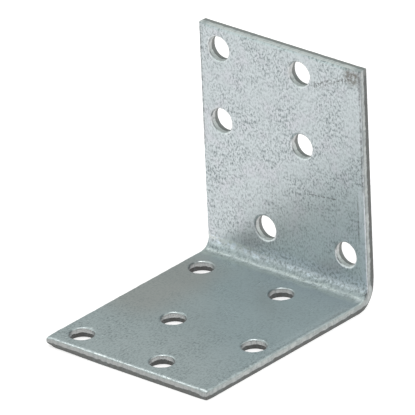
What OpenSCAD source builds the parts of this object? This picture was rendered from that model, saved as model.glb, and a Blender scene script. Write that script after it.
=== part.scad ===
// Corner brace bracket: one strip of galvanised sheet steel, punched with six pairs
// of screw holes, sheared all round and folded once to a right angle.
// Dimensions in millimetres. The base lies on Z = 0 and runs forward along -Y, the
// upright stands along +Z at its back end, and X runs across the strip.

/* [Strip] */

// Width of the strip, across the fold.
strip_w = 40; // [34:0.5:60]

// Height of the upright leg, from the base's underside to its top edge.
upright_h = 50; // [48:0.5:70]

// Length of the base leg, from the upright's back face to its front edge.
base_l = 50; // [48:0.5:70]

// Thickness of the sheet.
sheet_t = 2; // [1.5:0.1:2.5]

// Radius that blunts the four plan-view corners at the free ends of the legs.
corner_r = 0.3; // [0.2:0.05:1]

/* [Fold] */

// Radius inside the fold.
fold_inner_r = 2.3; // [1.5:0.1:3]

// Radius outside the fold; it is more than the inner radius plus the thickness,
// because the sheet is drawn thinner where it bends.
fold_outer_r = 4.8; // [4.5:0.1:5.2]

/* [Sheared edge] */

// How far the rounded rim reaches in over the inner faces.
rim_w = 0.6; // [0.2:0.05:1]

// Depth of the rounded rim below the inner faces.
rim_d = 0.28; // [0.1:0.02:0.4]

// Share of the thickness, at the outer side, that broke off instead of being cut.
break_share = 0.48; // [0.2:0.02:0.6]

// How far the broken band leans in by the time it reaches the outer faces.
break_lean = 0.07; // [0.02:0.01:0.25]

/* [Holes] */

// Diameter of the punched holes along their smooth wall.
hole_d = 5; // [3.5:0.1:5.5]

// Distance of the two outer hole columns from the strip's sides.
side_margin = 5; // [4:0.1:6]

// Distance of each inner hole column from the outer one beside it; each row has
// holes in two of the four columns, two columns apart.
column_pitch = 10; // [7.5:0.1:10]

// Offset of the whole hole group from the strip's middle.
column_offset = -0.2; // [-0.5:0.1:0.5]

// Distance of the upright's end row from its top edge.
upright_margin = 4.6; // [4:0.1:5.5]

// Distance of the base's end row from its front edge.
base_margin = 5; // [4:0.1:5.5]

// Distance from the end row to the middle row, on both legs.
end_pitch = 15.2; // [10:0.1:15.5]

// Distance from the middle row to the row beside the fold, on both legs.
fold_pitch = 20.1; // [10:0.1:20.5]

/* [Hole wall] */

// How far the rounded lip spreads round a hole's mouth on the inner faces.
lip_w = 0.5; // [0.2:0.02:0.6]

// Depth of the rounded lip.
lip_d = 0.2; // [0.1:0.02:0.4]

// Share of the thickness, at the outer side, where the slug tore out of the hole.
tear_share = 0.48; // [0.2:0.02:0.6]

// How far the torn band widens the hole by the time it reaches the outer faces.
tear_flare = 0.12; // [0.05:0.01:0.25]

/* [Hidden] */

$fn = 96;

// How far cutting bodies stand clear of the surfaces that they cut.
clear = 1;

// Faces of the two legs.
back_y = base_l / 2;
front_y = -base_l / 2;
inner_y = back_y - sheet_t;
half_w = strip_w / 2;
hole_r = hole_d / 2;

// Centres of the fold's two arcs, in the Y-Z plane.
inner_arc_y = inner_y - fold_inner_r;
inner_arc_z = sheet_t + fold_inner_r;
outer_arc_y = back_y - fold_outer_r;
outer_arc_z = fold_outer_r;

// Depths, counted from the inner faces, at which the broken and torn bands begin.
break_at = sheet_t * (1 - break_share);
tear_at = sheet_t * (1 - tear_share);

// Hole rows: [distance from the leg's free end, first column of the row's pair].
upright_rows = [
    [upright_margin, 0],
    [upright_margin + end_pitch, 0],
    [upright_margin + end_pitch + fold_pitch, 1]
];
base_rows = [
    [base_margin, 0],
    [base_margin + end_pitch, 1],
    [base_margin + end_pitch + fold_pitch, 0]
];

// Distances of the outer and inner hole columns from the strip's middle, and the X
// of all four columns from left to right.
outer_column = half_w - side_margin;
inner_column = outer_column - column_pitch;
column_x = [-outer_column, -inner_column, inner_column, outer_column];

// Radius of the arc that rolls a face over a rim: level where it leaves the face,
// and w outward and d deeper where it meets the wall.
function roll_r(w, d) = (w * w + d * d) / (2 * d);

// Outline of the folded strip in the Y-Z plane, drawn as X-Y.
module fold_outline() {
    difference() {
        translate([front_y, 0])
            square([base_l, upright_h]);
        // Space between the legs, up to the rounded inner corner.
        difference() {
            translate([front_y - clear, sheet_t])
                square([inner_y - front_y + clear, upright_h]);
            difference() {
                translate([inner_arc_y, sheet_t])
                    square([fold_inner_r, fold_inner_r]);
                translate([inner_arc_y, inner_arc_z])
                    circle(r = fold_inner_r);
            }
        }
        // Rounding of the outer corner.
        difference() {
            translate([outer_arc_y, -clear])
                square([fold_outer_r + clear, fold_outer_r + clear]);
            translate([outer_arc_y, outer_arc_z])
                circle(r = fold_outer_r);
            translate([outer_arc_y - fold_outer_r, -clear])
                square([fold_outer_r, fold_outer_r + clear]);
        }
    }
}

// What the rounded rim takes off: X is outward from the sheared wall, Y is the
// depth from the inner face.
module rim_section() {
    difference() {
        translate([-rim_w, -clear])
            square([rim_w + clear, rim_d + clear]);
        translate([-rim_w, roll_r(rim_w, rim_d)])
            circle(r = roll_r(rim_w, rim_d));
    }
}

// What the leaning broken band takes off, in the same directions.
module break_section() {
    slope = break_lean / (sheet_t - break_at);
    polygon([
        [0, break_at],
        [clear, break_at],
        [clear, sheet_t + clear],
        [-slope * (sheet_t + clear - break_at), sheet_t + clear]
    ]);
}

// Sweeps a section along the upright's right-hand edge, out past its top end.
module along_upright_side(from_z) {
    translate([half_w, inner_y, from_z])
        linear_extrude(height = upright_h + clear - from_z)
            children();
}

// Sweeps a section along the base's right-hand edge, out past its front end.
module along_base_side(to_y) {
    translate([half_w, to_y, sheet_t])
        rotate([90, 0, 0])
            linear_extrude(height = to_y - front_y + clear)
                mirror([0, 1])
                    children();
}

// Sweeps a section round the fold at the right-hand edge; the section's depths
// turn into radii about the arc's centre.
module round_fold(arc_y, arc_z, face_r) {
    translate([half_w, arc_y, arc_z])
        rotate([0, 90, 0])
            rotate_extrude(angle = 90)
                translate([face_r, 0])
                    mirror([1, -1])
                        children();
}

// Sweeps a section along the upright's top edge.
module along_upright_end() {
    translate([half_w + clear, inner_y, upright_h])
        rotate([0, -90, 0])
            linear_extrude(height = strip_w + 2 * clear)
                children();
}

// Sweeps a section along the base's front edge.
module along_base_end() {
    translate([-half_w - clear, front_y, sheet_t])
        rotate([0, 90, 0])
            linear_extrude(height = strip_w + 2 * clear)
                mirror([1, -1])
                    mirror([1, 0])
                        children();
}

// What lies outside a blunted corner; the corner's own point is at the origin.
module corner_waste() {
    translate([-corner_r, -corner_r])
        difference() {
            square([corner_r + clear, corner_r + clear]);
            circle(r = corner_r);
        }
}

// All that shearing takes off the right-hand half of the outline.
module sheared_half() {
    along_upright_side(inner_arc_z)
        rim_section();
    along_upright_side(outer_arc_z)
        break_section();
    along_base_side(inner_arc_y)
        rim_section();
    along_base_side(outer_arc_y)
        break_section();
    round_fold(inner_arc_y, inner_arc_z, fold_inner_r)
        rim_section();
    round_fold(outer_arc_y, outer_arc_z, fold_outer_r - sheet_t)
        break_section();
    translate([half_w, back_y + clear, upright_h])
        rotate([90, 0, 0])
            linear_extrude(height = sheet_t + 2 * clear)
                corner_waste();
    translate([half_w, front_y, -clear])
        rotate([0, 0, -90])
            linear_extrude(height = sheet_t + 2 * clear)
                corner_waste();
}

// One punched hole: axis along +Z, inner face at Z = 0, the sheet below it. The
// punch enters at the rounded lip, cuts the smooth wall and tears out the rest.
module punched_hole() {
    lip_r = roll_r(lip_w, lip_d);
    flare = tear_flare / (sheet_t - tear_at);
    translate([0, 0, -sheet_t - clear])
        cylinder(r = hole_r, h = sheet_t + 2 * clear);
    rotate_extrude()
        difference() {
            translate([0, -lip_d])
                square([hole_r + lip_w, lip_d + clear]);
            translate([hole_r + lip_w, -lip_r])
                circle(r = lip_r);
        }
    rotate_extrude()
        polygon([
            [0, -tear_at],
            [hole_r, -tear_at],
            [hole_r + flare * (sheet_t + clear - tear_at), -sheet_t - clear],
            [0, -sheet_t - clear]
        ]);
}

// The pair of holes in one row, at its two columns.
module hole_pair(first_column) {
    for (column = [first_column, first_column + 2])
        translate([column_x[column] + column_offset, 0, 0])
            punched_hole();
}

// The folded strip.
module bracket() {
    color([0.74, 0.77, 0.78])
        difference() {
            rotate([90, 0, 90])
                translate([0, 0, -half_w])
                    linear_extrude(height = strip_w)
                        fold_outline();
            for (side = [0, 1])
                mirror([side, 0, 0])
                    sheared_half();
            along_upright_end()
                rim_section();
            along_upright_end()
                break_section();
            along_base_end()
                rim_section();
            along_base_end()
                break_section();
            for (row = upright_rows)
                translate([0, inner_y, upright_h - row[0]])
                    rotate([90, 0, 0])
                        hole_pair(row[1]);
            for (row = base_rows)
                translate([0, front_y + row[0], sheet_t])
                    hole_pair(row[1]);
        }
}

bracket();
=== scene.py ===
import math
from functools import partial, reduce

import bpy
from mathutils import Matrix, Vector


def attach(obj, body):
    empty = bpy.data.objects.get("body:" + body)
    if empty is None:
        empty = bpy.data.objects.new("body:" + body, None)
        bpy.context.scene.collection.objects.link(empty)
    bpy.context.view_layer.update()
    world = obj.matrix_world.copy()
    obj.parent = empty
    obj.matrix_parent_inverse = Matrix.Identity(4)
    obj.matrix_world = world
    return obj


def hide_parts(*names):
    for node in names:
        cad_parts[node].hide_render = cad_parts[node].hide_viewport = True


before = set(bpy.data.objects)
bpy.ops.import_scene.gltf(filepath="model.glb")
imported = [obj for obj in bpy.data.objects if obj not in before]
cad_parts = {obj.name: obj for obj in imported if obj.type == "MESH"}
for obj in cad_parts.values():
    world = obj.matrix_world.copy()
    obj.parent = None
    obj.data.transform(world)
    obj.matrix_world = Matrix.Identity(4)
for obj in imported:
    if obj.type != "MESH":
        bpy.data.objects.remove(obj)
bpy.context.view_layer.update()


# The bracket

# One strip of galvanised sheet steel. A press punches the screw holes and shears the
# blank from its inner face, so every cut has a rounded rim, a smooth wall and a torn
# outer band; then the blank is folded once to a right angle.

MM = 0.001

# The strip and its fold. The allowance is the length of blank that turns into the fold,
# measured on the inner face. The stretched outer side is drawn in at the strip's edges.
strip_width = 40 * MM
upright_height = 50 * MM
base_length = 50 * MM
sheet_thickness = 2 * MM
corner_radius = 0.2 * MM
fold_inner_radius = 2.3 * MM
fold_outer_radius = 4.8 * MM
fold_allowance = 3.6 * MM
fold_draw_in = 0.15 * MM

# The sheared outline. The rim's reach is the widest that it gets.
rim_reach = 1.25 * MM
rim_turn = math.radians(35)
rim_nose = 0.16 * MM
break_start = 1.04 * MM
break_lean = 0.05 * MM
tear_roughness = 0.03 * MM

# How it varies, as shares of the full rim: its reach and its sag along the cut, its one
# reach near a corner, the weaker bite on some sides, and the sag of a front corner.
reach_range = (0.55, 0.93)
sag_range = (0.60, 1.12)
corner_reach = 0.72
left_side_bite = 0.45
upright_right_loss = 0.62
base_right_gain = 0.07
front_corner_sag = 0.85
near_corner_wear = 0.35

# How the torn band varies: the height that the tear line wanders over and its lean to
# one side, and how far the band is broken off at a front corner and along the left front.
tear_wander_height = 0.9 * MM
base_right_tear_lean = 0.16
tear_run_in = 0.2 * MM
corner_break_off = 0.45 * MM
left_front_break_off = 0.28 * MM
base_right_stand = 0.026 * MM

# The punched holes. Each row has holes in two of the four columns, two columns apart.
holes_per_leg = 6
hole_radius = 2.5 * MM
lip_reach = 0.68 * MM
lip_turn = math.radians(40)
lip_nose = 0.10 * MM
tear_start = 1.04 * MM
tear_flare = 0.12 * MM
side_margin = 5 * MM
column_pitch = 10 * MM
column_offset = -0.2 * MM
upright_margin = 4.6 * MM
base_margin = 5 * MM
end_pitch = 15.2 * MM
fold_pitch = 20.1 * MM

# How fine the mesh is: facets of the section, of a corner and of a hole, and cuts along
# the outline and over the fold.
rim_facets = 8
nose_facets = 6
tear_rows = 4
corner_facets = 4
hole_facets = 64
outline_cuts = 150
fold_rows = 46
weld_distance = 0.004 * MM
crease_angle = math.radians(24)


def feed(socket, value):
    """Links a value to a socket, or sets it there where it is a plain one."""
    if isinstance(value, bpy.types.NodeSocket):
        socket.id_data.links.new(value, socket)
    else:
        socket.default_value = value


def add_node(tree, kind, inputs=None, **settings):
    """Adds a node to a tree, sets its options and fills its inputs."""
    node = tree.nodes.new(kind)
    for option, choice in settings.items():
        setattr(node, option, choice)
    for name, value in (inputs or {}).items():
        feed(node.inputs[name], value)
    return node


def tree_of(*values):
    """The tree that the first linked value belongs to."""
    return next(value.id_data for value in values if isinstance(value, bpy.types.NodeSocket))


def step(kind, inputs, output=0, **settings):
    """Adds a node that takes the given values, and gives one of its outputs."""
    return add_node(tree_of(*inputs.values()), kind, inputs, **settings).outputs[output]


def reckon(operation, *terms, clamp=False):
    """One step of arithmetic."""
    return step("ShaderNodeMath", dict(enumerate(terms)), operation=operation, use_clamp=clamp)


less = partial(reckon, "SUBTRACT")
over = partial(reckon, "DIVIDE")
times_plus = partial(reckon, "MULTIPLY_ADD")


def plus(*terms, clamp=False):
    """The sum of several values."""
    return reduce(partial(reckon, "ADD", clamp=clamp), terms)


def times(*terms, clamp=False):
    """The product of several values."""
    return reduce(partial(reckon, "MULTIPLY", clamp=clamp), terms)


def largest(*terms):
    """The largest of several values."""
    return reduce(partial(reckon, "MAXIMUM"), terms)


def minus(value):
    """A value with its sign turned."""
    return times(value, -1.0)


def point(x=0.0, y=0.0, z=0.0):
    """A place made of three values."""
    if any(isinstance(value, bpy.types.NodeSocket) for value in (x, y, z)):
        return step("ShaderNodeCombineXYZ", {"X": x, "Y": y, "Z": z})
    return (x, y, z)


def split(vector):
    """The three values of a place."""
    return add_node(vector.id_data, "ShaderNodeSeparateXYZ", {0: vector}).outputs


def scaled(vector, scale):
    """A vector made longer or shorter."""
    return step("ShaderNodeVectorMath", {0: vector, "Scale": scale}, operation="SCALE")


def moved_by(place, way):
    """A place moved by a vector."""
    return step("ShaderNodeVectorMath", {0: place, 1: way}, operation="ADD")


def compare(operation, first, second):
    """The distance between two places, or how far two directions agree."""
    return step("ShaderNodeVectorMath", {0: first, 1: second}, "Value", operation=operation)


def ramp(value, low, high, to_low=0.0, to_high=1.0):
    """Turns one range of a value smoothly into another."""
    ends = {"From Min": low, "From Max": high, "To Min": to_low, "To Max": to_high}
    return step("ShaderNodeMapRange", {"Value": value, **ends}, interpolation_type="SMOOTHSTEP")


def pattern(place, per_mm, detail=2.0, roughness=0.5, stretch=(1.0, 1.0, 1.0), start=(0.0, 0.0, 0.0)):
    """A cloud pattern with a given number of features to the millimetre."""
    placed = step("ShaderNodeVectorMath", {0: place, 1: stretch, 2: start}, operation="MULTIPLY_ADD")
    look = {"Scale": per_mm, "Detail": detail, "Roughness": roughness}
    return step("ShaderNodeTexNoise", {"Vector": placed, **look}, "Fac")


SOCKETS = {
    "numbers": "NodeSocketFloat", "counts": "NodeSocketInt", "places": "NodeSocketVector",
    "shapes": "NodeSocketGeometry", "finishes": "NodeSocketMaterial",
}


def new_tree(name, gives, kind="shapes", **takes):
    """An empty Geometry Nodes tree with one result and with named inputs of several kinds."""
    tree = bpy.data.node_groups.new(name, "GeometryNodeTree")
    for take_kind, labels in takes.items():
        for label in labels:
            tree.interface.new_socket(label, in_out="INPUT", socket_type=SOCKETS[take_kind])
    tree.interface.new_socket(gives, in_out="OUTPUT", socket_type=SOCKETS[kind])
    return tree, tree.nodes.new("NodeGroupInput").outputs, tree.nodes.new("NodeGroupOutput").inputs[0]


def join(*parts):
    """Joins several geometries."""
    node = parts[0].id_data.nodes.new("GeometryNodeJoinGeometry")
    for part in parts:
        feed(node.inputs[0], part)
    return node.outputs[0]


def line(start, end):
    """A straight path between two places."""
    return step("GeometryNodeCurvePrimitiveLine", {"Start": start, "End": end})


def resampled(path, count):
    """A path with a given number of points."""
    return step("GeometryNodeResampleCurve", {"Curve": path, "Count": count})


def choose(number, kind, choices):
    """Gives each point the choice that its number stands for."""
    switch = add_node(number.id_data, "GeometryNodeIndexSwitch", {"Index": number}, data_type=kind)
    for _ in choices[2:]:
        switch.index_switch_items.new()
    for place, choice in enumerate(choices, 1):
        feed(switch.inputs[place], choice)
    return switch.outputs[0]


def own_position(tree):
    """Each point's position."""
    return tree.nodes.new("GeometryNodeInputPosition").outputs[0]


def own_number(tree):
    """Each point's number."""
    return tree.nodes.new("GeometryNodeInputIndex").outputs[0]


def stored(tree, name, kind="FLOAT_VECTOR"):
    """Reads back a named value of the points."""
    return add_node(tree, "GeometryNodeInputNamedAttribute", {"Name": name}, data_type=kind).outputs[0]


def store(shape, name, value, kind="FLOAT_VECTOR", domain="POINT"):
    """Keeps a value with each point or face under a name."""
    inputs = {"Geometry": shape, "Name": name, "Value": value}
    return step("GeometryNodeStoreNamedAttribute", inputs, data_type=kind, domain=domain)


def move_points(shape, position):
    """Sets each point's position."""
    return step("GeometryNodeSetPosition", {"Geometry": shape, "Position": position})


def shifted(shape, way):
    """Moves a whole shape."""
    return step("GeometryNodeTransform", {"Geometry": shape, "Translation": way})


# The section that the press leaves: X is outward from the cut, Y is depth into the sheet.
# The face rolls over in a wide arc, a tight nose leads on into the smooth wall, and the
# torn band follows.
section_tree, take, give = new_tree(
    "Cut edge section", "Curve",
    numbers=["Reach", "Turn", "Nose", "Break start", "Break shift", "Thickness"],
)
quarter = math.pi / 2
roll_radius = over(
    less(take["Reach"], times(take["Nose"], less(1.0, reckon("SINE", take["Turn"])))),
    reckon("SINE", take["Turn"]),
)
roll_arc = step("GeometryNodeCurveArc", {
    "Resolution": rim_facets, "Radius": roll_radius, "Start Angle": -quarter, "Sweep Angle": take["Turn"],
})
nose_arc = step("GeometryNodeCurveArc", {
    "Resolution": nose_facets, "Radius": take["Nose"], "Start Angle": less(take["Turn"], quarter),
    "Sweep Angle": less(quarter, take["Turn"]),
})
# Depth at which the nose has turned into the wall.
nose_depth = times_plus(less(take["Nose"], roll_radius), reckon("COSINE", take["Turn"]), roll_radius)
tear_top = point(0.0, take["Break start"])
section = join(
    shifted(roll_arc, point(minus(take["Reach"]), roll_radius)),
    shifted(nose_arc, point(minus(take["Nose"]), nose_depth)),
    line(point(0.0, nose_depth), tear_top),
    resampled(line(tear_top, point(minus(take["Break shift"]), take["Thickness"])), tear_rows),
)
feed(give, store(section, "cut_section", own_position(section_tree)))

# Where a point of the section comes to lie at one place on a cut. Rim and tear line
# wander along the cut, and the torn band is rough; the smooth wall stays true.
edge_tree, take, give = new_tree(
    "Cut edge place", "Position", kind="places", places=["Place", "Way", "Section"],
    numbers=["Break start", "Thickness", "Tear roughness"],
)
place_mm = scaled(take["Place"], 1 / MM)
x_mm, along_mm, _ = split(place_mm)
cut = split(take["Section"])
reach_share = ramp(pattern(place_mm, per_mm=0.45, detail=3.0, roughness=0.74), 0.33, 0.67, *reach_range)
sag_clouds = pattern(place_mm, per_mm=0.5, detail=3.0, roughness=0.78, start=(20.0, 5.0, 0.0))
sag_share = ramp(sag_clouds, 0.33, 0.67, *sag_range)
# The shears bit less along the strip's left side, and least up the upright's right side.
on_right = ramp(x_mm, 17.8, 19.0)
right_of_upright = times(on_right, ramp(along_mm, 43.0, 46.0))
right_of_base = times(on_right, ramp(along_mm, 45.0, 41.0))
bite = times(
    ramp(x_mm, -19.0, -17.8, left_side_bite, 1.0), times_plus(right_of_upright, -upright_right_loss, 1.0)
)
bite = times_plus(right_of_base, base_right_gain, bite)
# Close to a corner the rim keeps one width, so that side and end meet in a clean mitre.
fold_thinning = fold_inner_radius + sheet_thickness - fold_outer_radius
half_width_mm = strip_width / 2 / MM
half_blank_mm = (
    (base_length + upright_height + fold_allowance) / 2 - fold_outer_radius - fold_thinning
) / MM
from_middle = point(reckon("ABSOLUTE", x_mm), reckon("ABSOLUTE", less(along_mm, half_blank_mm)))
to_any_corner = compare("DISTANCE", from_middle, (half_width_mm, half_blank_mm, 0.0))
reach_share = times_plus(ramp(to_any_corner, 3.0, 1.6), less(corner_reach, reach_share), reach_share)
reach_share = times(reach_share, bite)
# The two front corners sag, the left one more, and broke off rounder underneath.
to_corner = compare("DISTANCE", point(reckon("ABSOLUTE", x_mm), along_mm), (half_width_mm, 0.0, 0.0))
corner_wear = ramp(x_mm, 8.0, -8.0, near_corner_wear, 1.0)
sag_share = times_plus(
    ramp(to_corner, 2.0, 0.3), times(corner_wear, front_corner_sag), times(sag_share, bite)
)
below_rim = over(cut["Y"], take["Break start"], clamp=True)
true_share = times_plus(below_rim, less(1.0, sag_share), sag_share)
band = less(take["Thickness"], take["Break start"])
below_tear = less(cut["Y"], take["Break start"])
near_tear = less(1.0, over(reckon("ABSOLUTE", below_tear), band), clamp=True)
tear_clouds = pattern(place_mm, per_mm=0.7, detail=3.0, roughness=0.6, start=(5.0, 31.0, 0.0))
tear_wander = times(
    times_plus(right_of_base, base_right_tear_lean, less(tear_clouds, 0.5)),
    times(near_tear, tear_wander_height),
)
cut_depth = plus(times(cut["Y"], true_share), tear_wander)
on_wall = point(x_mm, along_mm, times(cut["Y"], 1 / MM))
tear_grain = pattern(on_wall, per_mm=1.6, detail=3.0, roughness=0.7, start=(9.0, 2.0, 0.0))
torn_in = times(
    ramp(tear_grain, 0.3, 0.7), times(over(below_tear, tear_run_in, clamp=True), take["Tear roughness"])
)
band_share = over(below_tear, band, clamp=True)
broken_off = times(
    times(ramp(to_corner, 2.2, 0.0), corner_wear), times(times(band_share, band_share), corner_break_off)
)
left_front = times(ramp(x_mm, -6.0, -18.0), ramp(along_mm, 4.0, 1.0))
broken_off = times_plus(left_front, times(band_share, left_front_break_off), broken_off)
torn_in = plus(torn_in, broken_off)
torn_in = times_plus(right_of_base, times(band_share, -base_right_stand), torn_in)
outward = scaled(take["Way"], less(times(cut["X"], reach_share), torn_in))
feed(give, moved_by(moved_by(take["Place"], outward), point(0.0, 0.0, minus(cut_depth))))


def to_cut(sizes, shape, start, section=None):
    """Brings points to their places on a cut, for one point of the section or for all."""
    tree = shape.id_data
    inputs = {
        "Place": stored(tree, "cut_place"), "Way": stored(tree, "way_out"), "Break start": start,
        "Section": section or stored(tree, "cut_section"),
        "Thickness": sizes["Thickness"], "Tear roughness": sizes["Tear roughness"],
    }
    return move_points(shape, step("GeometryNodeGroup", inputs, node_tree=edge_tree))


def cut_wall(sizes, path, start, section):
    """Sweeps a section along a path and lays it on the cut; the colour keeps true depths."""
    wall = step("GeometryNodeCurveToMesh", {"Curve": path, "Profile Curve": section})
    wall = to_cut(sizes, wall, start)
    flat = split(own_position(wall.id_data))
    depth = split(stored(wall.id_data, "cut_section"))["Y"]
    return store(wall, "blank_place", point(flat["X"], flat["Y"], minus(depth)))


def level_face(shape):
    """Marks a large level face, whose borders stay crisp."""
    shape = store(shape, "blank_place", own_position(shape.id_data))
    return store(shape, "level_face", 1.0, kind="FLOAT", domain="FACE")


# Outline of one flat leg, from the fold line round its free end and back. Each point
# keeps its place and its way outward; near a corner the ways fan out, which makes the
# rims of side and end meet in a mitre.
outline_tree, take, give = new_tree(
    "Leg outline", "Curve",
    numbers=["Half width", "Length", "Corner radius", "Rim reach", "Turn", "End at"],
    counts=["Side cuts", "End cuts"],
)
half_minus = minus(take["Half width"])
point_number = own_number(outline_tree)
corner_places = choose(point_number, "VECTOR", [
    point(half_minus, take["Length"]), point(half_minus, 0.0), point(take["Half width"], 0.0),
    point(take["Half width"], take["Length"]),
])
cuts_after = choose(point_number, "INT", [take["Side cuts"], take["End cuts"], take["Side cuts"], 0])
straight = outline_tree.nodes.new("GeometryNodeCurvePrimitiveLine").outputs[0]
corners = move_points(resampled(straight, 4), corner_places)
finer = step("GeometryNodeSubdivideCurve", {"Curve": corners, "Cuts": cuts_after})
first_corner = plus(take["Side cuts"], 1.0)
second_corner = plus(first_corner, take["End cuts"], 1.0)
at_corner = largest(*[
    reckon("LESS_THAN", reckon("ABSOLUTE", less(point_number, corner)), 0.5)
    for corner in (first_corner, second_corner)
])
rounded = step(
    "GeometryNodeFilletCurve",
    {"Curve": finer, "Count": corner_facets, "Radius": times(take["Corner radius"], at_corner)},
    mode="POLY",
)
here = split(own_position(outline_tree))
inner_half = less(take["Half width"], take["Rim reach"])
nearest_x = largest(reckon("MINIMUM", here["X"], inner_half), minus(inner_half))
nearest_y = largest(here["Y"], take["Rim reach"])
way_scale = over(take["Turn"], take["Rim reach"])
way_out = point(times(less(here["X"], nearest_x), way_scale), times(less(here["Y"], nearest_y), way_scale))
turned = point(times(here["X"], take["Turn"]), times_plus(here["Y"], take["Turn"], take["End at"]))
outline = move_points(store(rounded, "way_out", way_out), turned)
feed(give, store(outline, "cut_place", own_position(outline_tree)))

# One flat leg of the blank, inner face up: its sheared wall, the staggered holes and
# the two faces that are left between them. The leg can lie either way round.
LEG_SIZES = [
    "Half width", "Flat length", "Corner radius", "Thickness", "Rim reach", "Break start", "Break lean",
    "Tear start", "Tear roughness", "Hole radius", "Lip reach", "Tear flare", "Side margin", "Column pitch",
    "Column offset", "End margin", "End pitch", "Fold pitch", "Turn", "End at",
]
FIRST_COLUMNS = ["First column, end row", "First column, middle row", "First column, fold row"]
leg_tree, take, give = new_tree(
    "Punched leg", "Mesh", numbers=LEG_SIZES, counts=FIRST_COLUMNS + ["Side cuts", "End cuts"],
    shapes=["Outline section", "Hole section"],
)
hole_number = own_number(leg_tree)
row_number = reckon("FLOOR", over(hole_number, 2.0))
side_number = reckon("MODULO", hole_number, 2.0)
first_column = choose(row_number, "FLOAT", [take[label] for label in FIRST_COLUMNS])
middle_row = plus(take["End margin"], take["End pitch"])
row_place = choose(
    row_number, "FLOAT", [take["End margin"], middle_row, plus(middle_row, take["Fold pitch"])]
)
outer_column = less(take["Half width"], take["Side margin"])
inner_column = less(outer_column, take["Column pitch"])
column_x = choose(
    plus(first_column, times(side_number, 2.0)), "FLOAT",
    [minus(outer_column), minus(inner_column), inner_column, outer_column],
)
hole_place = point(
    plus(column_x, take["Column offset"]), times_plus(row_place, take["Turn"], take["End at"])
)
hole_points = step("GeometryNodePoints", {"Count": holes_per_leg, "Position": hole_place})

# The hole circles: the way out of the sheet is toward each hole's axis.
hole_circle = step(
    "GeometryNodeCurvePrimitiveCircle", {"Resolution": hole_facets, "Radius": take["Hole radius"]}
)
to_axis = scaled(own_position(leg_tree), over(-1.0, take["Hole radius"]))
hole_circle = store(hole_circle, "way_out", to_axis)
hole_circles = step("GeometryNodeInstanceOnPoints", {"Points": hole_points, "Instance": hole_circle})
hole_circles = step("GeometryNodeRealizeInstances", {"Geometry": hole_circles})
hole_circles = store(hole_circles, "cut_place", own_position(leg_tree))
outline_sizes = {
    label: take[label] for label in ("Half width", "Corner radius", "Rim reach", "Turn", "End at")
}
leg_outline = step("GeometryNodeGroup", {
    **outline_sizes, "Length": take["Flat length"], "Side cuts": take["Side cuts"],
    "End cuts": take["End cuts"],
}, node_tree=outline_tree)
closed_outline = step("GeometryNodeSetSplineCyclic", {"Geometry": leg_outline, "Cyclic": True})


def face_between(outline_at, hole_at):
    """Fills between the outline and the holes, each at one point of its section."""
    borders = join(
        to_cut(take, closed_outline, take["Break start"], outline_at),
        to_cut(take, hole_circles, take["Tear start"], hole_at),
    )
    return step("GeometryNodeFillCurve", {"Curve": borders})


def turned_over(shape):
    """The same faces, pointing the other way."""
    return step("GeometryNodeFlipFaces", {"Mesh": shape})


sheared_wall = cut_wall(take, leg_outline, take["Break start"], take["Outline section"])
punched_wall = turned_over(cut_wall(take, hole_circles, take["Tear start"], take["Hole section"]))
inner_face = face_between(point(minus(take["Rim reach"])), point(minus(take["Lip reach"])))
outer_face = face_between(
    point(minus(take["Break lean"]), take["Thickness"]), point(minus(take["Tear flare"]), take["Thickness"])
)
outer_face = shifted(turned_over(outer_face), point(0.0, 0.0, minus(take["Thickness"])))
feed(give, join(sheared_wall, punched_wall, level_face(inner_face), level_face(outer_face)))

# The whole strip: two punched legs and the stretch between them, laid out flat as the
# blank is, then folded about arcs that leave the sheet a little thinner in the bend.
STRIP_SIZES = {
    "Strip width": strip_width, "Upright height": upright_height, "Base length": base_length,
    "Thickness": sheet_thickness, "Corner radius": corner_radius, "Fold inner radius": fold_inner_radius,
    "Fold outer radius": fold_outer_radius, "Fold allowance": fold_allowance, "Fold draw-in": fold_draw_in,
    "Rim reach": rim_reach, "Rim turn": rim_turn, "Rim nose": rim_nose, "Break start": break_start,
    "Break lean": break_lean, "Tear roughness": tear_roughness, "Hole radius": hole_radius,
    "Lip reach": lip_reach, "Lip turn": lip_turn, "Lip nose": lip_nose, "Tear start": tear_start,
    "Tear flare": tear_flare, "Side margin": side_margin, "Column pitch": column_pitch,
    "Column offset": column_offset, "Upright margin": upright_margin, "Base margin": base_margin,
    "End pitch": end_pitch, "Fold pitch": fold_pitch,
}
STRIP_COUNTS = {"Fold rows": fold_rows, "Side cuts": outline_cuts, "End cuts": outline_cuts}
strip_tree, take, give = new_tree(
    "Folded punched strip", "Geometry", numbers=STRIP_SIZES, counts=STRIP_COUNTS, finishes=["Zinc"]
)
half_width = over(take["Strip width"], 2.0)
# The outer arc starts this much before the inner one, and ends as much after it.
arc_gap = less(take["Fold outer radius"], plus(take["Fold inner radius"], take["Thickness"]))
base_flat = less(take["Base length"], take["Fold outer radius"])
upright_flat = less(take["Upright height"], take["Fold outer radius"])
fold_end = plus(base_flat, plus(take["Fold allowance"], times(arc_gap, 2.0)))
blank_end = plus(fold_end, upright_flat)


def section_of(edge, wall_start, wall_shift):
    """The section of the rims or of the lips."""
    return step("GeometryNodeGroup", {
        "Reach": take[f"{edge} reach"], "Turn": take[f"{edge} turn"], "Nose": take[f"{edge} nose"],
        "Break start": take[wall_start], "Break shift": take[wall_shift], "Thickness": take["Thickness"],
    }, node_tree=section_tree)


outline_section = section_of("Rim", "Break start", "Break lean")
hole_section = section_of("Lip", "Tear start", "Tear flare")


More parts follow.
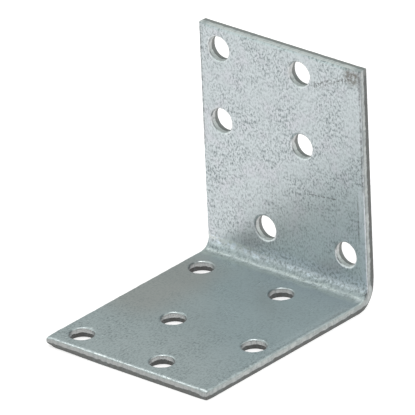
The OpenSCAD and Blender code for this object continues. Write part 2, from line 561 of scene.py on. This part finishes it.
def punched_leg(flat_length, margin, turn, end_at, first_columns):
    """One leg of the blank, laid with its free end at the given place."""
    sizes = {
        "Half width": half_width, "Flat length": flat_length, "End margin": margin, "Turn": turn,
        "End at": end_at, "Outline section": outline_section, "Hole section": hole_section,
        "Side cuts": take["Side cuts"], "End cuts": take["End cuts"],
        **dict(zip(FIRST_COLUMNS, first_columns)),
    }
    sizes.update({label: take[label] for label in LEG_SIZES if label not in sizes})
    return step("GeometryNodeGroup", sizes, node_tree=leg_tree)


base_leg = punched_leg(base_flat, take["Base margin"], 1.0, 0.0, (0, 1, 0))
upright_leg = punched_leg(upright_flat, take["Upright margin"], -1.0, blank_end, (0, 0, 1))
fold_points = plus(take["Fold rows"], 1.0)


def fold_side(side, start, end):
    """The sheared wall along one side of the fold."""
    x = times(half_width, side)
    path = resampled(line(point(x, start), point(x, end)), fold_points)
    path = store(store(path, "way_out", point(side)), "cut_place", own_position(strip_tree))
    return cut_wall(take, path, take["Break start"], outline_section)


def fold_face(turn, section_x, section_depth):
    """The inner or outer face of the fold, between its two sheared walls."""
    path = resampled(line(point(0.0, base_flat), point(0.0, fold_end)), fold_points)
    across = line(point(times(half_width, -turn)), point(times(half_width, turn)))
    face = step("GeometryNodeCurveToMesh", {"Curve": path, "Profile Curve": across})
    flat = split(own_position(strip_tree))
    face = store(face, "way_out", point(reckon("SIGN", flat["X"])))
    face = store(face, "cut_place", point(flat["X"], flat["Y"]))
    face = to_cut(take, face, take["Break start"], point(section_x, section_depth))
    return store(face, "blank_place", own_position(strip_tree))


blank = join(
    base_leg, upright_leg, fold_side(1.0, base_flat, fold_end), fold_side(-1.0, fold_end, base_flat),
    fold_face(1.0, minus(take["Rim reach"]), 0.0),
    fold_face(-1.0, minus(take["Break lean"]), take["Thickness"]),
)
blank = step("GeometryNodeMergeByDistance", {"Geometry": blank, "Distance": weld_distance})

# Folding: how deep a point lies in the sheet picks its arc, and how far along the blank
# it lies picks its angle on that arc. The stretched outer side is drawn in at the edges.
place = split(own_position(strip_tree))
depth_share = over(minus(place["Z"]), take["Thickness"])
early = times(depth_share, arc_gap)
arc_start = less(plus(base_flat, arc_gap), early)
arc_length = times_plus(early, 2.0, take["Fold allowance"])
arc_end = plus(arc_start, arc_length)
along_arc = over(less(place["Y"], arc_start), arc_length)
turn = times(plus(along_arc, 0.0, clamp=True), quarter)
radius = times_plus(
    depth_share, less(take["Fold outer radius"], take["Fold inner radius"]), take["Fold inner radius"]
)
# Distance of the arc's centre from the outer corner, the same along both legs.
centre_in = times_plus(depth_share, arc_gap, plus(take["Thickness"], take["Fold inner radius"]))
back_y = over(take["Base length"], 2.0)
folded_y = less(
    plus(less(back_y, centre_in), times(radius, reckon("SINE", turn))),
    largest(less(arc_start, place["Y"]), 0.0),
)
folded_z = plus(
    less(centre_in, times(radius, reckon("COSINE", turn))), largest(less(place["Y"], arc_end), 0.0)
)
drawn = times(
    times(ramp(along_arc, 0.2, 0.62), ramp(along_arc, 1.3, 0.9)),
    times(depth_share, over(take["Fold draw-in"], half_width)),
)
folded_x = times(place["X"], less(1.0, drawn))
folded = move_points(blank, point(folded_x, folded_y, folded_z))

# Crisp where the press cut and round the level faces; smooth over rims and the fold.
folded = step("GeometryNodeSetShadeSmooth", {"Geometry": folded, "Shade Smooth": True}, domain="FACE")
# On an edge the mark of the level faces is averaged, so a border has about one half.
from_half = reckon("ABSOLUTE", less(stored(strip_tree, "level_face", "FLOAT"), 0.5))
edge_angle = strip_tree.nodes.new("GeometryNodeInputMeshEdgeAngle").outputs[0]
crisp = largest(reckon("LESS_THAN", from_half, 0.4), reckon("GREATER_THAN", edge_angle, crease_angle))
folded = step(
    "GeometryNodeSetShadeSmooth", {"Geometry": folded, "Selection": crisp, "Shade Smooth": False},
    domain="EDGE",
)
for helper_name in ("cut_section", "way_out", "cut_place"):
    folded = step("GeometryNodeRemoveAttribute", {"Geometry": folded, "Name": helper_name})
folded = step("GeometryNodeRealizeInstances", {"Geometry": folded})
feed(give, step("GeometryNodeSetMaterial", {"Geometry": folded, "Material": take["Zinc"]}))

# The zinc coat: pale blue-grey metal with a fine dark grain and soft clouds, closer and
# calmer on the base than on the upright. The pattern lies on the flat blank in mm.
zinc_colour = (0.570, 0.617, 0.633, 1.0)
# The grain's dark, also used for painted shade.
grain_and_shade_colour = (0.250, 0.282, 0.292, 1.0)
violet_colour = (0.590, 0.605, 0.640, 1.0)
warm_grey_colour = (0.566, 0.548, 0.535, 1.0)
lavender_colour = (0.610, 0.645, 0.700, 1.0)
# Bright, for painted light on the base's front, right side and front ridge and at the fold's end, and for a
# few pricks.
bright_colour = (0.850, 0.870, 0.880, 1.0)
# Painted highlight colours for bands across the fold.
bend_highlight_colour = (0.850, 0.890, 0.830, 1.0)
pale_highlight_colour = (0.700, 0.765, 0.840, 1.0)
rubbed_colour = (0.660, 0.690, 0.725, 1.0)
smudge_colour = (0.150, 0.140, 0.120, 1.0)
# Dark for marks, and for painted shade lines and a painted shadow spot.
mark_and_shade_colour = (0.160, 0.165, 0.165, 1.0)
# Wall colours for each kind of cut are lit and shaded copies of one steel, painted light and shade: darker
# on the front end, lighter on the top end and the hole walls.
front_wall_colour = (0.485, 0.490, 0.486, 1.0)
side_wall_colour = (0.600, 0.618, 0.610, 1.0)
end_wall_colour = (0.700, 0.705, 0.700, 1.0)
hole_wall_colour = (0.730, 0.735, 0.730, 1.0)
# A painted highlight on the holes' lips.
lip_highlight_colour = (0.850, 0.860, 0.860, 1.0)
# Likewise the torn band: painted shade darkens it in the base's holes, and painted light brightens it on
# the top end and in the upright's holes.
torn_edge_colour = (0.190, 0.190, 0.185, 1.0)
torn_end_colour = (0.310, 0.310, 0.302, 1.0)
torn_base_hole_colour = (0.165, 0.163, 0.160, 1.0)
torn_upright_hole_colour = (0.310, 0.308, 0.302, 1.0)

# How much of each shows, as a share of the coat or the wall that it lies on.
fine_grain_share = 0.92
coarse_grain_share = 0.20
violet_share = 0.8
top_dull_share = 0.06
warm_share = 0.90
# Painted light on the base's front and right side.
base_front_light_share = 0.36
base_right_light_share = 0.28
rear_dull_share = 0.10
# Painted highlights at the fold's start and end, and a painted shade in its middle.
bend_end_highlight_share = 0.34
bend_start_highlight_share = 0.42
bend_middle_shade_share = 0.36
bend_streak_share = 0.22
# A painted highlight in speckled patches on the fold.
pale_highlight_share = 0.8
lavender_share = 0.75
smudge_share = 0.85
trail_share = 0.7
scratch_share = 0.85
faint_line_share = 0.55
margin_line_share = 0.75
rim_line_share = 0.7
# Painted highlight dots along the base's front ridge.
ridge_highlight_share = 0.9
rubbed_share = 0.8
low_rubbed_share = 0.7
# Painted shade on the walls of the base's holes, by the way they face, and under the lips.
hole_side_shade_share = 0.60
under_lip_shade_share = 0.25
# Painted highlight on the lips.
lip_highlight_share = 0.45
# A painted highlight and a painted shadow at the fold's right end.
fold_end_highlight_share = 0.8

# How the metal shines: the coat and the bare cut wall.
cut_metallic = 0.45
coat_roughness = (0.33, 0.27)
grain_roughness = 0.16
fold_roughness = 0.12
smooth_wall_roughness = 0.42
torn_wall_roughness = 0.62
relief_depth = 0.012 * MM

zinc = bpy.data.materials.new("galvanised_sheet")
zinc.use_nodes = True
zinc_tree = zinc.node_tree
shader = zinc_tree.nodes["Principled BSDF"]


def blend_colour(share, first, second):
    """Goes from the first colour to the second. A colour mix takes them on inputs 6 and 7."""
    return step("ShaderNodeMix", {0: share, 6: first, 7: second}, 2, data_type="RGBA")


def blend_value(share, first, second):
    """Goes from the first value to the second."""
    return step("ShaderNodeMix", {0: share, 2: first, 3: second})


def between(value, low, high, soft):
    """1 inside a range of a value and 0 outside it, with soft ends."""
    return times(ramp(value, low - soft, low + soft), ramp(value, high + soft, high - soft))


blank_place = add_node(
    zinc_tree, "ShaderNodeAttribute", attribute_type="GEOMETRY", attribute_name="blank_place"
).outputs["Vector"]
on_blank = scaled(blank_place, 1 / MM)
across, lengthwise, minus_depth = split(on_blank)
depth = minus(minus_depth)
off_middle = reckon("ABSOLUTE", across)
coat_pattern = partial(pattern, on_blank)


def spot(x, along, radius):
    """1 at a place on the blank and 0 beyond a radius round it."""
    return ramp(compare("DISTANCE", on_blank, (x, along, 0.0)), radius, 0.3 * radius)


# How much grain shows: strong on the upright and most of all low on its left, fainter on
# the base toward the fold, broken open in the fold.
toward_upright = ramp(lengthwise, 46.0, 50.0)
in_fold = between(lengthwise, 45.6, 49.6, soft=0.7)
clouds = coat_pattern(per_mm=0.16, detail=3.0, roughness=0.55, start=(3.0, 7.0, 0.0))
low_left = times(ramp(across, -12.0, -17.0), between(lengthwise, 50.0, 68.0, soft=2.0))
base_grain = ramp(lengthwise, 35.0, 8.0, 0.42, 0.80)
grain_room = times(
    ramp(clouds, 0.35, 0.62, 0.55, 1.15), ramp(lengthwise, 56.0, 72.0, 0.80, 1.0),
    blend_value(in_fold, blend_value(toward_upright, base_grain, 1.0), 1.1),
    blend_value(low_left, 1.0, 1.35),
)
grain_stretch = (1.0, 0.62, 1.0)
fine_grain = coat_pattern(per_mm=2.6, detail=3.0, roughness=0.68, stretch=grain_stretch)
coarse_grain = coat_pattern(per_mm=0.9, stretch=grain_stretch, start=(11.0, 4.0, 0.0))
fine_dark = ramp(fine_grain, 0.56, 0.34)
coarse_dark = ramp(coarse_grain, 0.52, 0.34)
dark = times(
    times_plus(fine_dark, fine_grain_share, times(coarse_dark, coarse_grain_share)), grain_room, clamp=True
)

# The coat's own shades: violet clouds on the upright and a warm grey area on the base's left side. The
# base's front and its right side are made lighter by painted light.
hue_clouds = coat_pattern(per_mm=0.22, start=(31.0, 17.0, 0.0))
violet = times(ramp(hue_clouds, 0.46, 0.70, 0.0, violet_share), blend_value(toward_upright, 0.15, 1.0))
coat = blend_colour(violet, zinc_colour, violet_colour)
coat = blend_colour(times(ramp(lengthwise, 70.0, 86.0), top_dull_share), coat, grain_and_shade_colour)
warm = times(ramp(across, -5.0, -14.0), between(lengthwise, 17.0, 43.0, soft=5.0), warm_share)
coat = blend_colour(warm, coat, warm_grey_colour)
# Painted light: the base lighter toward its front and along its right side.
base_front_light = times(ramp(lengthwise, 24.0, 5.0), base_front_light_share)
base_right_light = times(ramp(across, 17.3, 19.0), ramp(lengthwise, 45.0, 42.0), base_right_light_share)
coat = blend_colour(largest(base_front_light, base_right_light), coat, bright_colour)
rear_dull = times(between(lengthwise, 32.0, 44.5, soft=2.5), rear_dull_share)
coat = blend_colour(rear_dull, coat, grain_and_shade_colour)
coat = blend_colour(dark, coat, grain_and_shade_colour)

# In the fold the coat is crazed and fine streaks run along it. Across it lie bands of painted highlight,
# with a painted shade in its middle and painted highlights in pale bluish speckled patches toward the
# upright. At its right end a painted highlight and a painted shadow stand for a small bulge.
bend_streaks = coat_pattern(
    per_mm=1.0, detail=3.0, roughness=0.6, stretch=(0.35, 2.6, 1.0), start=(6.0, 1.0, 0.0)
)
bend_wander = coat_pattern(
    per_mm=0.25, detail=3.0, roughness=0.6, stretch=(1.0, 0.2, 1.0), start=(0.0, 3.0, 0.0)
)
wandering = times_plus(bend_wander, 2.0, less(lengthwise, 1.0))
# Painted highlights: bands where the fold starts and ends, and a line early in it.
bend_end_highlight = times(between(lengthwise, 49.0, 49.9, soft=0.35), bend_end_highlight_share)
bend_start_highlight = times(between(wandering, 45.2, 46.3, soft=0.6), bend_start_highlight_share)
bend_highlight_line = times(between(wandering, 46.5, 47.2, soft=0.55), ramp(bend_streaks, 0.40, 0.60, 0.12, 0.42))
coat = blend_colour(largest(bend_highlight_line, bend_start_highlight, bend_end_highlight), coat, bend_highlight_colour)
# Painted shade across the middle of the fold.
bend_middle_shade = times(between(wandering, 47.3, 48.2, soft=0.6), bend_middle_shade_share)
bend_streak = times(ramp(bend_streaks, 0.55, 0.40), in_fold, bend_streak_share)
coat = blend_colour(largest(bend_middle_shade, bend_streak), coat, grain_and_shade_colour)
patches = coat_pattern(
    per_mm=0.9, detail=3.0, roughness=0.65, stretch=(0.6, 1.3, 1.0), start=(1.0, 40.0, 0.0)
)
# Painted highlight in pale bluish patches on the fold's upper part.
pale_highlight_patch = times(ramp(patches, 0.48, 0.62), between(wandering, 48.1, 50.2, soft=0.7), pale_highlight_share)
coat = blend_colour(pale_highlight_patch, coat, pale_highlight_colour)
above_fold = times(between(lengthwise, 48.4, 51.0, soft=0.9), ramp(across, -12.0, 0.0))
coat = blend_colour(times(above_fold, lavender_share), coat, lavender_colour)
cracks = coat_pattern(per_mm=1.7, detail=3.0, roughness=0.7, start=(23.0, 2.0, 0.0))
crazed = times(
    between(lengthwise, 47.4, 51.4, soft=0.9), ramp(across, -16.0, -4.0),
    ramp(cracks, 0.52, 0.40, 0.0, 0.75),
)
coat = blend_colour(crazed, coat, grain_and_shade_colour)
# A painted highlight and a painted shadow at the fold's right end.
coat = blend_colour(times(spot(18.9, 46.2, 0.9), fold_end_highlight_share), coat, bright_colour)
coat = blend_colour(times(spot(19.7, 48.0, 0.9), ramp(fine_grain, 0.55, 0.45, 0.2, 0.9)), coat, mark_and_shade_colour)

# Marks of use on the upright: a brown smudge at its top right corner with a trail to the
# left, a dotted scratch above the low holes, a faint line to the left of it and a short
# slanting one low on the left, and beside the right edge rubbed strips and dark lines.
smudge_clouds = coat_pattern(per_mm=1.4, detail=3.0, roughness=0.65, start=(2.0, 8.0, 0.0))
smudge = times(spot(18.0, 93.4, 2.8), ramp(smudge_clouds, 0.36, 0.58, 0.20, 1.0), smudge_share)
coat = blend_colour(smudge, coat, smudge_colour)
trail = times(
    between(times_plus(across, -0.416, lengthwise), 84.9, 86.2, soft=0.5),
    between(across, 8.0, 17.5, soft=1.0), ramp(fine_grain, 0.58, 0.42), trail_share,
)
coat = blend_colour(trail, coat, mark_and_shade_colour)
dots = ramp(coat_pattern(per_mm=1.9, detail=1.0, start=(4.0, 3.0, 0.0)), 0.44, 0.54)
scratch = times(
    between(times_plus(across, -0.1, lengthwise), 64.78, 65.04, soft=0.08),
    between(across, 6.2, 13.0, soft=0.3), dots, scratch_share,
)
coat = blend_colour(scratch, coat, mark_and_shade_colour)
upright_line = times(between(across, -3.1, -2.9, soft=0.1), between(lengthwise, 60.0, 66.0, soft=0.5), dots)
slant = times(
    between(times_plus(across, 0.93, lengthwise), 46.25, 46.55, soft=0.12),
    between(across, -14.1, -12.7, soft=0.2),
)
coat = blend_colour(times(largest(upright_line, slant), faint_line_share), coat, mark_and_shade_colour)
rubbed_clouds = coat_pattern(
    per_mm=1.4, detail=2.0, roughness=0.6, stretch=(1.0, 0.25, 1.0), start=(3.0, 9.0, 0.0)
)
rubbed = ramp(rubbed_clouds, 0.40, 0.58, 0.35, 0.95)
margin_strip = times(
    ramp(across, 18.4, 18.7), between(lengthwise, 59.5, 70.0, soft=1.0), rubbed, rubbed_share
)
coat = blend_colour(margin_strip, coat, rubbed_colour)
low_strip = times(
    ramp(across, 18.3, 19.1), between(lengthwise, 50.5, 59.0, soft=1.0), rubbed, low_rubbed_share
)
coat = blend_colour(low_strip, coat, lavender_colour)
margin_line = times(
    between(across, 18.2, 18.42, soft=0.12), between(lengthwise, 58.5, 67.5, soft=0.8), largest(dots, 0.45),
    margin_line_share,
)
rim_dirt = coat_pattern(per_mm=0.9, detail=3.0, roughness=0.7, start=(14.0, 3.0, 0.0))
rim_line = times(
    ramp(off_middle, 19.35, 19.6), ramp(lengthwise, 67.0, 71.0), ramp(rim_dirt, 0.42, 0.56, 0.25, 1.0),
    ramp(depth, 0.2, 0.15), rim_line_share,
)
coat = blend_colour(largest(margin_line, rim_line), coat, mark_and_shade_colour)

# On the base: painted highlights as bright dots along the front ridge, and behind it a few pricks on the
# left.
ridge_clouds = coat_pattern(
    per_mm=1.1, detail=2.0, roughness=0.6, stretch=(1.0, 0.5, 1.0), start=(40.0, 3.0, 0.0)
)
ridge_highlight_dots = times(
    ramp(ridge_clouds, 0.50, 0.62), between(lengthwise, 0.15, 0.6, soft=0.2), ramp(across, -14.0, -11.0),
    ridge_highlight_share,
)
coat = blend_colour(ridge_highlight_dots, coat, bright_colour)
prick_clouds = coat_pattern(per_mm=1.5, detail=0.0, start=(7.0, 5.0, 0.0))
pricks = times(ramp(prick_clouds, 0.745, 0.79), ramp(lengthwise, 18.0, 13.0), ramp(across, 0.0, -5.0))
coat = blend_colour(pricks, coat, bright_colour)

# Which cut a place is on: the upright's top end, the long sides, the base's front end or else a hole. Each
# takes its own wall colours, painted light and shade: lighter on the top end and the hole walls, darker on
# the front end, and the torn band darker in the base's holes.
on_wall = times(ramp(depth, 0.2, 0.34), ramp(depth, 1.998, 1.990))
top_end = ramp(lengthwise, 93.5, 93.85)
on_side = ramp(off_middle, 18.05, 18.5)
at_front = ramp(lengthwise, 1.5, 0.7)
on_outline = largest(on_side, at_front, top_end)
in_hole = less(1.0, on_outline)

# The smooth walls, light down to the tear line. The walls of the base's holes are painted darker except on
# their rear left, painted shade by the way each part faces, and a dark line of painted shade runs just
# under the lips of all holes. Along the strip's sides the wall is uneven, and on the right it is darker
# just under the upright's rim.
# Painted shade on the front end's wall, and painted light on the walls of the top end and the holes.
outline_wall = blend_colour(at_front, side_wall_colour, front_wall_colour)
smooth_wall = blend_colour(on_outline, hole_wall_colour, outline_wall)
smooth_wall = blend_colour(top_end, smooth_wall, end_wall_colour)
facing = zinc_tree.nodes.new("ShaderNodeNewGeometry").outputs["Normal"]
rear_left = compare("DOT_PRODUCT", facing, (0.66, -0.75, 0.0))
# Painted shade: the base's hole walls darker except on their rear left.
hole_side_shade = times(ramp(rear_left, 0.78, 0.35), less(1.0, toward_upright), in_hole)
smooth_wall = blend_colour(times(hole_side_shade, hole_side_shade_share), smooth_wall, grain_and_shade_colour)
# Painted shade: a dark line just under the lips of the holes.
under_lip_shade = times(between(depth, 0.22, 0.34, soft=0.05), in_hole, under_lip_shade_share)
smooth_wall = blend_colour(under_lip_shade, smooth_wall, mark_and_shade_colour)
wall_clouds = coat_pattern(per_mm=0.55, detail=3.0, roughness=0.65, start=(17.0, 9.0, 0.0))
uneven = times(on_side, ramp(wall_clouds, 0.60, 0.40, 0.0, 0.42))
smooth_wall = blend_colour(uneven, smooth_wall, grain_and_shade_colour)
under_rim = times(
    ramp(across, 19.0, 19.5), ramp(lengthwise, 50.0, 54.0), ramp(depth, 0.62, 0.42),
    ramp(dots, 0.0, 1.0, 0.35, 0.7),
)
smooth_wall = blend_colour(under_rim, smooth_wall, grain_and_shade_colour)

# The torn band under them is dark and grainy. In the bend the tear runs out, and just below the inner face
# a dark line of painted shade runs along the walls.
# Painted light and shade: the torn band darker in the base's holes, lighter in the upright's holes and on
# the top end.
torn_band = blend_colour(toward_upright, torn_base_hole_colour, torn_upright_hole_colour)
torn_band = blend_colour(on_outline, torn_band, torn_edge_colour)
torn_band = blend_colour(top_end, torn_band, torn_end_colour)
tear_line = times_plus(between(lengthwise, 46.7, 49.2, soft=0.6), 0.8, break_start / MM)
torn = ramp(less(depth, tear_line), -0.03, 0.05)
cut_wall_colour = blend_colour(torn, smooth_wall, torn_band)
cut_streaks = coat_pattern(
    per_mm=1.7, detail=3.0, roughness=0.65, stretch=(1.0, 1.0, 0.12), start=(2.0, 1.0, 0.0)
)
cut_wall_colour = blend_colour(ramp(cut_streaks, 0.45, 0.7, 0.0, 0.40), cut_wall_colour, grain_and_shade_colour)
# Painted shade: a dark line on the bend's walls just below the inner face.
bend_wall_shade = times(between(depth, 0.45, 0.65, soft=0.08), between(lengthwise, 47.3, 48.9, soft=0.4), 0.8)
cut_wall_colour = blend_colour(bend_wall_shade, cut_wall_colour, mark_and_shade_colour)

# The lips of the holes are painted lighter as a painted highlight, and they share the painted shade of the
# holes' sides.
lip = times(ramp(depth, 0.003, blend_value(toward_upright, 0.14, 0.05)), in_hole, lip_highlight_share)
coat = blend_colour(lip, coat, blend_colour(times(hole_side_shade, 0.8), lip_highlight_colour, grain_and_shade_colour))
feed(shader.inputs["Base Color"], blend_colour(on_wall, coat, cut_wall_colour))

# Bare cut steel scatters more of the light than the coat does, and the grain and the
# crazed fold are duller than the rest of the coat.
feed(shader.inputs["Metallic"], blend_value(on_wall, 1.0, cut_metallic))
face_roughness = times_plus(dark, grain_roughness, ramp(clouds, 0.3, 0.7, *coat_roughness))
face_roughness = times_plus(in_fold, fold_roughness, face_roughness)
wall_roughness = blend_value(torn, smooth_wall_roughness, torn_wall_roughness)
feed(shader.inputs["Roughness"], blend_value(on_wall, face_roughness, wall_roughness))

# Relief: the grain's pits, deepest in the fold, and the streaks and grains of the cut.
face_relief = times_plus(fine_grain, 0.6, times(coarse_grain, 0.8))
face_relief = times(face_relief, blend_value(in_fold, blend_value(toward_upright, 0.8, 1.0), 2.4))
torn_grain = coat_pattern(per_mm=4.0, detail=3.0, roughness=0.7, start=(8.0, 3.0, 0.0))
wall_relief = blend_value(torn, times(cut_streaks, 0.5), times(torn_grain, 2.5))
relief = blend_value(on_wall, face_relief, wall_relief)
bump = step("ShaderNodeBump", {"Height": relief, "Strength": 1.0, "Distance": relief_depth})
feed(shader.inputs["Normal"], bump)

draft = bpy.data.objects.new("folding_draft", bpy.data.meshes.new("folding_draft"))
bpy.context.scene.collection.objects.link(draft)
press = draft.modifiers.new("press", "NODES")
press.node_group = strip_tree
for item in strip_tree.interface.items_tree:
    if item.in_out == "INPUT":
        press[item.identifier] = {**STRIP_SIZES, **STRIP_COUNTS}.get(item.name, zinc)
finished = draft.evaluated_get(bpy.context.evaluated_depsgraph_get())
bracket_mesh = bpy.data.meshes.new_from_object(finished)
bpy.data.objects.remove(draft)
bracket = bpy.data.objects.new("folded_bracket", bracket_mesh)
bpy.context.scene.collection.objects.link(bracket)
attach(bracket, "root")
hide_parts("bracket")


# The floor

# A white table top under the bracket. It shows as a clean white ground, keeps the
# bracket's shadow, and is what the steel mirrors from below.

floor_reach = 6.0
floor_level = -0.02 * MM
paper_colour = (0.75, 0.695, 0.70, 1.0)
glow_colour = (1.0, 1.0, 1.0, 1.0)
ground_glow = 0.62
floor_mesh = bpy.data.meshes.new("table_top")
floor_corners = [
    (x * floor_reach, y * floor_reach, floor_level) for x, y in ((-1, -1), (1, -1), (1, 1), (-1, 1))
]
floor_mesh.from_pydata(floor_corners, [], [(0, 1, 2, 3)])
floor = bpy.data.objects.new("table_top", floor_mesh)
bpy.context.scene.collection.objects.link(floor)
white = bpy.data.materials.new("table_white")
white.use_nodes = True
white_tree = white.node_tree
white_tree.nodes.clear()
paper = add_node(white_tree, "ShaderNodeBsdfDiffuse", {"Color": paper_colour}).outputs[0]
rays = white_tree.nodes.new("ShaderNodeLightPath").outputs
seen = largest(rays["Is Camera Ray"], rays["Is Glossy Ray"], rays["Is Transmission Ray"])
glow = step("ShaderNodeEmission", {"Color": glow_colour, "Strength": times(seen, ground_glow)})
lit = step("ShaderNodeAddShader", {0: paper, 1: glow})
# Seen from below the table top is clear, so that the bracket's underside shows.
clear = white_tree.nodes.new("ShaderNodeBsdfTransparent").outputs[0]
backside = white_tree.nodes.new("ShaderNodeNewGeometry").outputs["Backfacing"]
one_way = step("ShaderNodeMixShader", {0: backside, 1: lit, 2: clear})
add_node(white_tree, "ShaderNodeOutputMaterial", {"Surface": one_way})
floor.data.materials.append(white)


# The light

# A plain studio: walls that are bright low down and greyer above, a duller panel behind
# the bracket on the left, a dark room on the camera's side, a small soft lamp overhead
# and a weaker one high on the left.

low_colour = (1.08, 1.17, 1.14)
high_colour = (0.68, 0.76, 0.74)
panel_colour = (0.47, 0.525, 0.515)
panel_way = Vector((-0.60, 0.68, 0.42)).normalized()
camera_side_colour = (0.16, 0.17, 0.17)
camera_way = Vector((0.62, -0.62, 0.35)).normalized()

world = bpy.data.worlds.new("room")
bpy.context.scene.world = world
world.use_nodes = True
world_tree = world.node_tree
room = world_tree.nodes["Background"]
room.inputs["Strength"].default_value = 1.0
way = world_tree.nodes.new("ShaderNodeTexCoord").outputs["Generated"]


def room_blend(value, low, high, first, second):
    """Goes from one colour to another as a value rises; Map Range has its vectors at 7 to 10."""
    ends = {7: (low,) * 3, 8: (high,) * 3, 9: first, 10: second}
    return step(
        "ShaderNodeMapRange", {"Vector": point(value, value, value), **ends}, "Vector",
        data_type="FLOAT_VECTOR", interpolation_type="SMOOTHSTEP",
    )


room_colour = room_blend(split(way)["Z"], 0.38, 0.66, low_colour, high_colour)
toward_panel = compare("DOT_PRODUCT", way, panel_way)
room_colour = room_blend(toward_panel, 0.60, 0.93, room_colour, panel_colour)
toward_camera = compare("DOT_PRODUCT", way, camera_way)
room_colour = room_blend(toward_camera, 0.62, 0.90, room_colour, camera_side_colour)
feed(room.inputs["Color"], room_colour)

lamp_aim = Vector((0.0, 0.0, 0.02))
for lamp_name, lamp_place, lamp_size, lamp_watts in (
    ("overhead_lamp", Vector((0.0, 0.0, 1.2)), 0.5, 2.0),
    ("left_lamp", Vector((-0.75, -0.05, 1.0)), 0.3, 0.5),
):
    lamp = bpy.data.lights.new(lamp_name, "AREA")
    lamp.shape = "SQUARE"
    lamp.size = lamp_size
    lamp.energy = lamp_watts
    holder = bpy.data.objects.new(lamp_name, lamp)
    bpy.context.scene.collection.objects.link(holder)
    holder.location = lamp_place
    holder.rotation_euler = (lamp_aim - lamp_place).to_track_quat("-Z", "Y").to_euler()


# The camera

# A long lens from the right and above, turned a little about its axis, as the
# photograph was taken.

photo_pixels = 415
focal_pixels = 9900.0
azimuth = math.radians(41.216)
elevation = math.radians(25.649)
roll = math.radians(-2.528)
distance = 1.87924
aim_point = Vector((0.24302, 0.20745, 24.99151)) * MM
sensor_width = 36.0
nearest_seen = 0.05
farthest_seen = 20.0

look = Vector((
    -math.sin(azimuth) * math.cos(elevation), math.cos(azimuth) * math.cos(elevation), -math.sin(elevation),
))
level_right = Vector((math.cos(azimuth), math.sin(azimuth), 0.0))
level_up = level_right.cross(look)
right = level_right * math.cos(roll) + level_up * math.sin(roll)
up = level_up * math.cos(roll) - level_right * math.sin(roll)

lens = bpy.data.cameras.new("camera")
lens.sensor_fit = "HORIZONTAL"
lens.sensor_width = sensor_width
lens.lens = sensor_width * focal_pixels / photo_pixels
lens.clip_start = nearest_seen
lens.clip_end = farthest_seen
camera = bpy.data.objects.new("camera", lens)
bpy.context.scene.collection.objects.link(camera)
turned = Matrix((right, up, -look)).transposed().to_4x4()
camera.matrix_world = Matrix.Translation(aim_point - look * distance) @ turned
bpy.context.scene.camera = camera

bpy.context.scene.view_settings.view_transform = "Standard"
